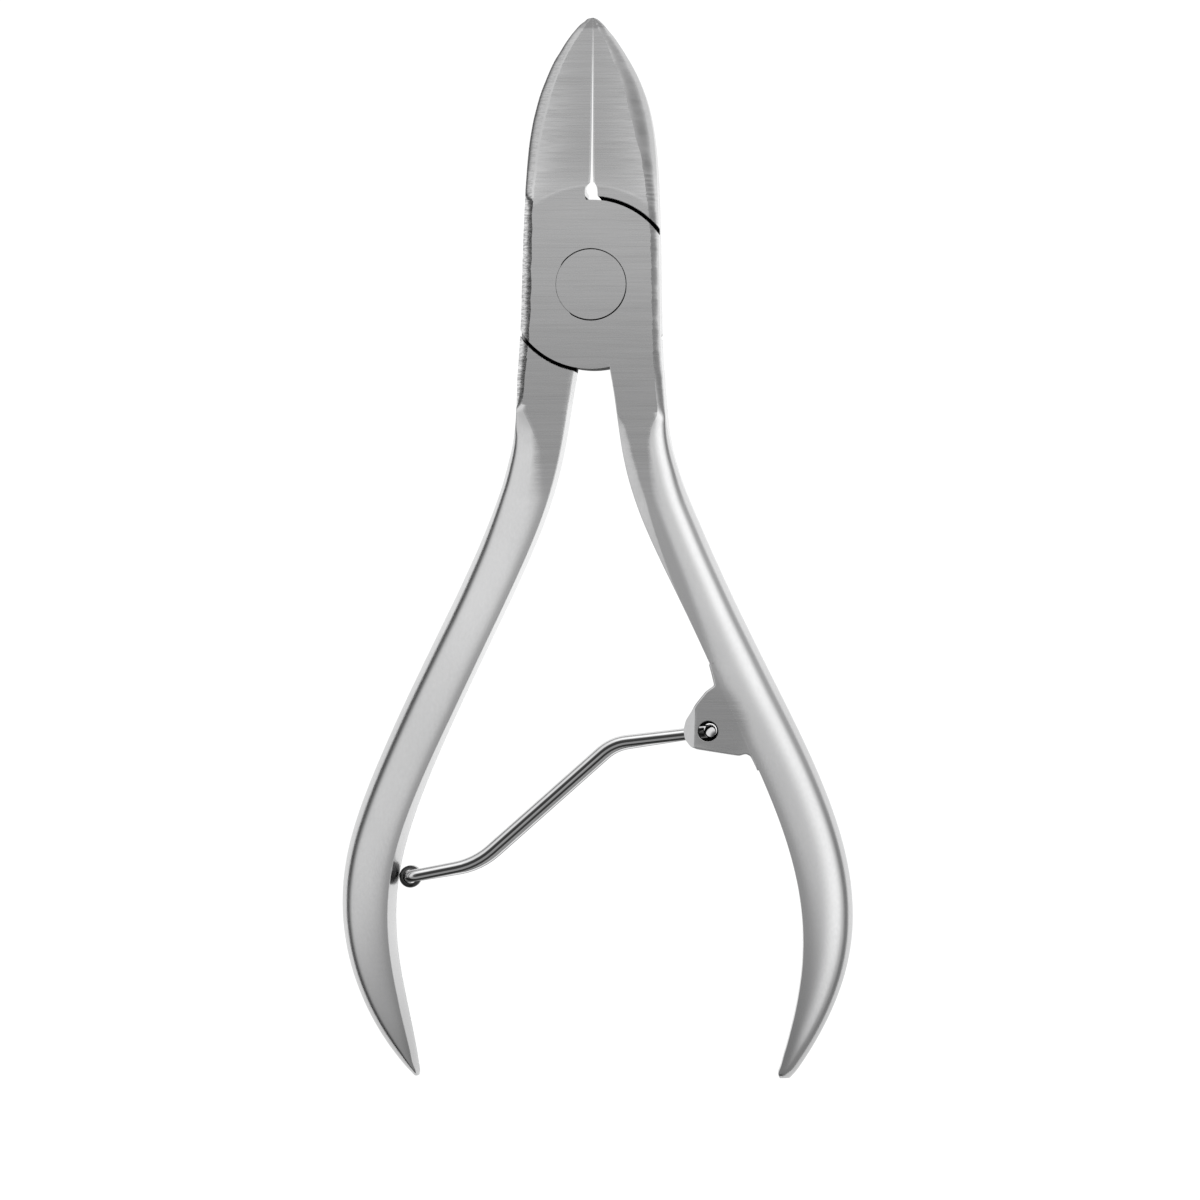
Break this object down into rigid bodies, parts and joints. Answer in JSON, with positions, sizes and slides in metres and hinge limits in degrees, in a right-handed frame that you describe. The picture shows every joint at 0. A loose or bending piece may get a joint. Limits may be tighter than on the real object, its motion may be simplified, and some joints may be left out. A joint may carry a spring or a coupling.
{
  "type": "nail nipper",
  "caption": "Steel nail nipper with crossing levers in a lap joint, pointed cutting blades, curved crowned handles and a bent wire spring with a small roller.",
  "frame": {"origin": "centre of the pivot on the back face of the joint, where the closed tool lies flat on a table", "axes": "+Z along the pivot axis out of the front face; +Y from the pivot to the blade tips; +X towards the handle that carries the spring's lug"},
  "size_m": [0.0508, 0.105, 0.0056],
  "materials": {
    "lever_steel": "satin, brushed across the blades and the joint",
    "rivet_steel": "satin, ground flush with the joint",
    "wire_steel": "polished",
    "roller_steel": "polished"
  },
  "bodies": {
    "front_lever": {"lever_front": "lever_steel"},
    "back_lever": {"lever_back": "lever_steel", "pivot_rivet": "rivet_steel"},
    "spring": {"spring_wire": "wire_steel"},
    "roller": {"spring_roller": "roller_steel"}
  },
  "joints": [
    {"name": "jaw_pivot", "type": "hinge", "parent": "front_lever", "child": "back_lever", "pos_m": [0, 0, 0.0028], "axis": [0, 0, -1], "range_deg": [0, 12], "stiffness_Nm_per_rad": 0.9, "springref_deg": 16.04},
    {"name": "spring_swing", "type": "hinge", "parent": "front_lever", "child": "spring", "pos_m": [0.01157, -0.04416, 0.0028], "axis": [0, 0, -1], "range_deg": [0, 34], "deforming": ["spring_wire"]},
    {"name": "roller_spin", "type": "hinge", "parent": "spring", "child": "roller", "pos_m": [-0.01815, -0.0587, 0.0028], "axis": [0, 0, 1], "continuous": true}
  ],
  "couplings": [
    {"joint": "spring_swing", "follows": "jaw_pivot", "ratio": 2.82}
  ]
}
